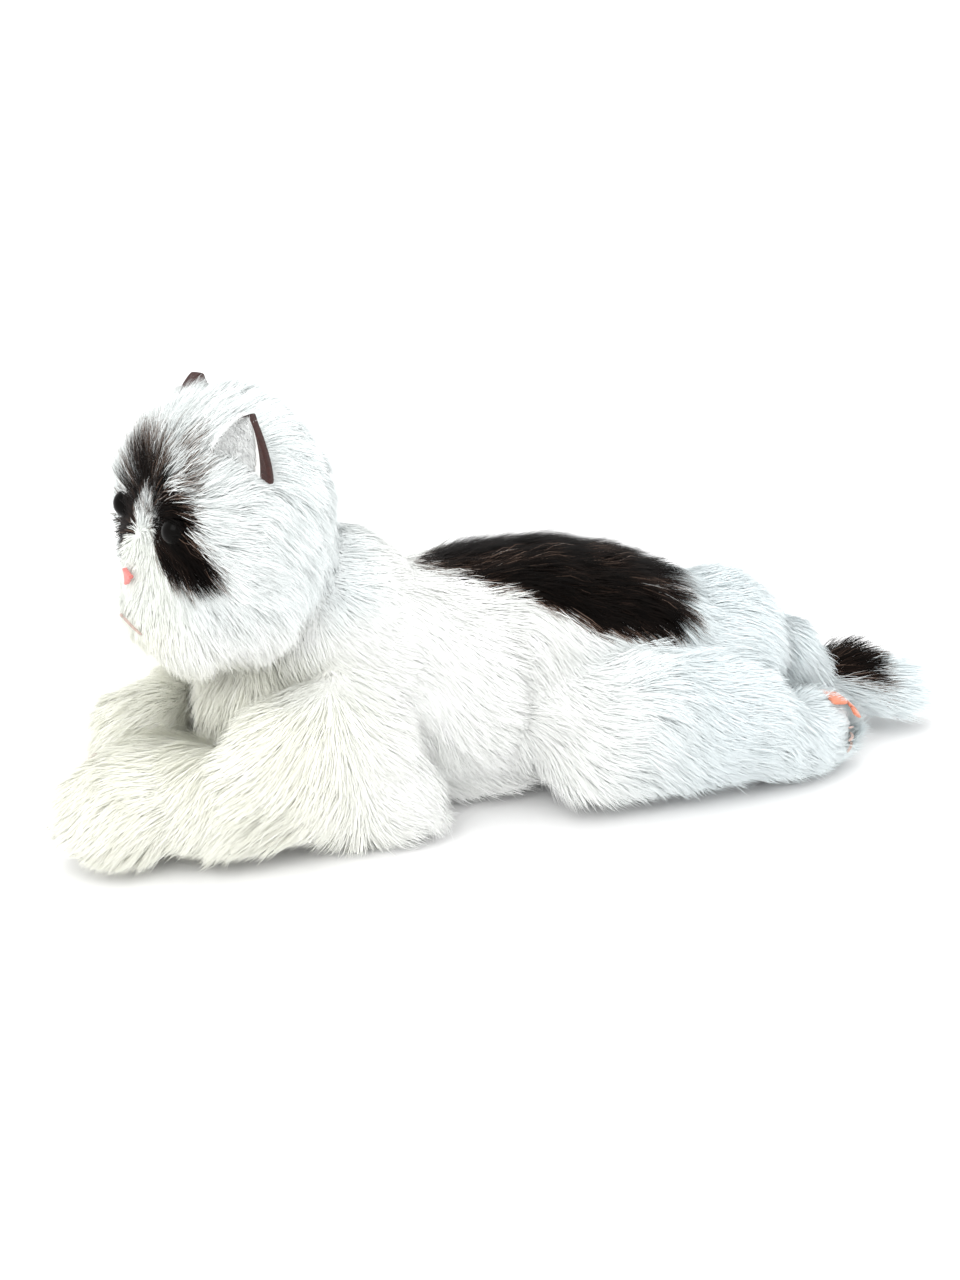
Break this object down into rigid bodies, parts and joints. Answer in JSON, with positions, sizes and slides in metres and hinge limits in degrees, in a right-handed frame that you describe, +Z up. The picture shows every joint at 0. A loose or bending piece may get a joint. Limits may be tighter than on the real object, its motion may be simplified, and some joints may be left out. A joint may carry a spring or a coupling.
{
  "type": "plush cat",
  "caption": "Long-haired plush cat lying down: white pile with a dark mask, saddle and tail patch, stuffed head, legs and tail that flex at their seams.",
  "frame": {"origin": "centre of the bounding box's underside, where the belly rests", "axes": "+Z up, the cat faces -Y, its left side is +X"},
  "size_m": [0.146, 0.435, 0.2175],
  "materials": {
    "white_fur": "long white pile, warm in front and cool behind",
    "dark_fur": "long near-black brown pile with taupe tips",
    "blaze_fur": "long grey-white pile with dark strands",
    "short_pile": "short cream pile",
    "ear_velvet": "reddish brown velvet",
    "stuffing": "loose polyester fibre",
    "eye_plastic": "glossy dark brown safety eye",
    "washer_plastic": "plain moulded",
    "nose_felt": "pink short plush",
    "pad_felt": "salmon orange felt",
    "thread": "pale tan stitching thread"
  },
  "bodies": {
    "torso": {"side_panel_left": "white_fur", "side_panel_right": "white_fur", "chest_panel": "white_fur", "rump_panel": "white_fur", "belly_panel": "white_fur", "saddle_patch": "dark_fur", "torso_stuffing": "stuffing"},
    "neck": {"neck_skin": "white_fur", "neck_stuffing": "stuffing"},
    "head": {"muzzle_panel": "short_pile", "forehead_blaze": "blaze_fur", "mask_left": "dark_fur", "mask_right": "dark_fur", "chin_panel": "white_fur", "cheek_left": "white_fur", "cheek_right": "white_fur", "crown_panel": "white_fur", "throat_panel": "white_fur", "head_back_panel": "white_fur", "head_stuffing": "stuffing", "eye_left": "eye_plastic", "eye_right": "eye_plastic", "eye_washer_left": "washer_plastic", "eye_washer_right": "washer_plastic", "nose": "nose_felt", "mouth_stitch": "thread"},
    "ear_left": {"ear_front_left": "short_pile", "ear_back_left": "ear_velvet"},
    "foreleg_left": {"foreleg_skin_left": "white_fur", "paw_skin_left": "white_fur", "foreleg_stuffing_left": "stuffing", "paw_stitches_left": "thread"},
    "hindleg_left": {"thigh_skin_left": "white_fur", "foot_skin_left": "white_fur", "hindleg_stuffing_left": "stuffing", "sole_left": "short_pile", "toe_pads_left": "pad_felt", "foot_stitches_left": "thread"},
    "ear_right": {"ear_front_right": "short_pile", "ear_back_right": "ear_velvet"},
    "foreleg_right": {"foreleg_skin_right": "white_fur", "paw_skin_right": "white_fur", "foreleg_stuffing_right": "stuffing", "paw_stitches_right": "thread"},
    "hindleg_right": {"thigh_skin_right": "white_fur", "foot_skin_right": "white_fur", "hindleg_stuffing_right": "stuffing", "sole_right": "short_pile", "toe_pads_right": "pad_felt", "foot_stitches_right": "thread"},
    "tail_base": {"tail_base_skin": "white_fur", "tail_base_stuffing": "stuffing"},
    "tail_end": {"tail_bend_skin": "white_fur", "tail_patch": "dark_fur", "tail_skin": "white_fur", "tail_tip": "white_fur", "tail_stuffing": "stuffing"}
  },
  "joints": [
    {"name": "neck_turn", "type": "hinge", "parent": "torso", "child": "neck", "pos_m": [0, -0.118, 0.128], "axis": [0, 0, 1], "range_deg": [-15, 15], "stiffness_Nm_per_rad": 3},
    {"name": "head_nod", "type": "hinge", "parent": "neck", "child": "head", "pos_m": [0, -0.118, 0.128], "axis": [1, 0, 0], "range_deg": [-8, 10], "stiffness_Nm_per_rad": 3},
    {"name": "ear_fold_left", "type": "hinge", "parent": "head", "child": "ear_left", "pos_m": [0.0455, -0.135, 0.191], "axis": [0.6729, 0.5524, -0.4921], "range_deg": [-20, 20], "stiffness_Nm_per_rad": 0.1},
    {"name": "ear_fold_right", "type": "hinge", "parent": "head", "child": "ear_right", "pos_m": [-0.0455, -0.135, 0.191], "axis": [0.6729, -0.5524, 0.4921], "range_deg": [-20, 20], "stiffness_Nm_per_rad": 0.1},
    {"name": "shoulder_left", "type": "hinge", "parent": "torso", "child": "foreleg_left", "pos_m": [0.057, -0.105, 0.046], "axis": [1, 0, 0], "range_deg": [-15, 5], "stiffness_Nm_per_rad": 3},
    {"name": "shoulder_right", "type": "hinge", "parent": "torso", "child": "foreleg_right", "pos_m": [-0.057, -0.105, 0.046], "axis": [1, 0, 0], "range_deg": [-15, 5], "stiffness_Nm_per_rad": 3},
    {"name": "hip_left", "type": "hinge", "parent": "torso", "child": "hindleg_left", "pos_m": [0.057, 0.052, 0.044], "axis": [1, 0, 0], "range_deg": [-3, 12], "stiffness_Nm_per_rad": 3},
    {"name": "hip_right", "type": "hinge", "parent": "torso", "child": "hindleg_right", "pos_m": [-0.057, 0.052, 0.044], "axis": [1, 0, 0], "range_deg": [-3, 12], "stiffness_Nm_per_rad": 3},
    {"name": "tail_lift", "type": "hinge", "parent": "torso", "child": "tail_base", "pos_m": [0, 0.147, 0.052], "axis": [1, 0, 0], "range_deg": [-5, 25], "stiffness_Nm_per_rad": 0.8},
    {"name": "tail_swing", "type": "hinge", "parent": "tail_base", "child": "tail_end", "pos_m": [0, 0.181, 0.028], "axis": [0, 0, 1], "range_deg": [-20, 20], "stiffness_Nm_per_rad": 0.6}
  ]
}
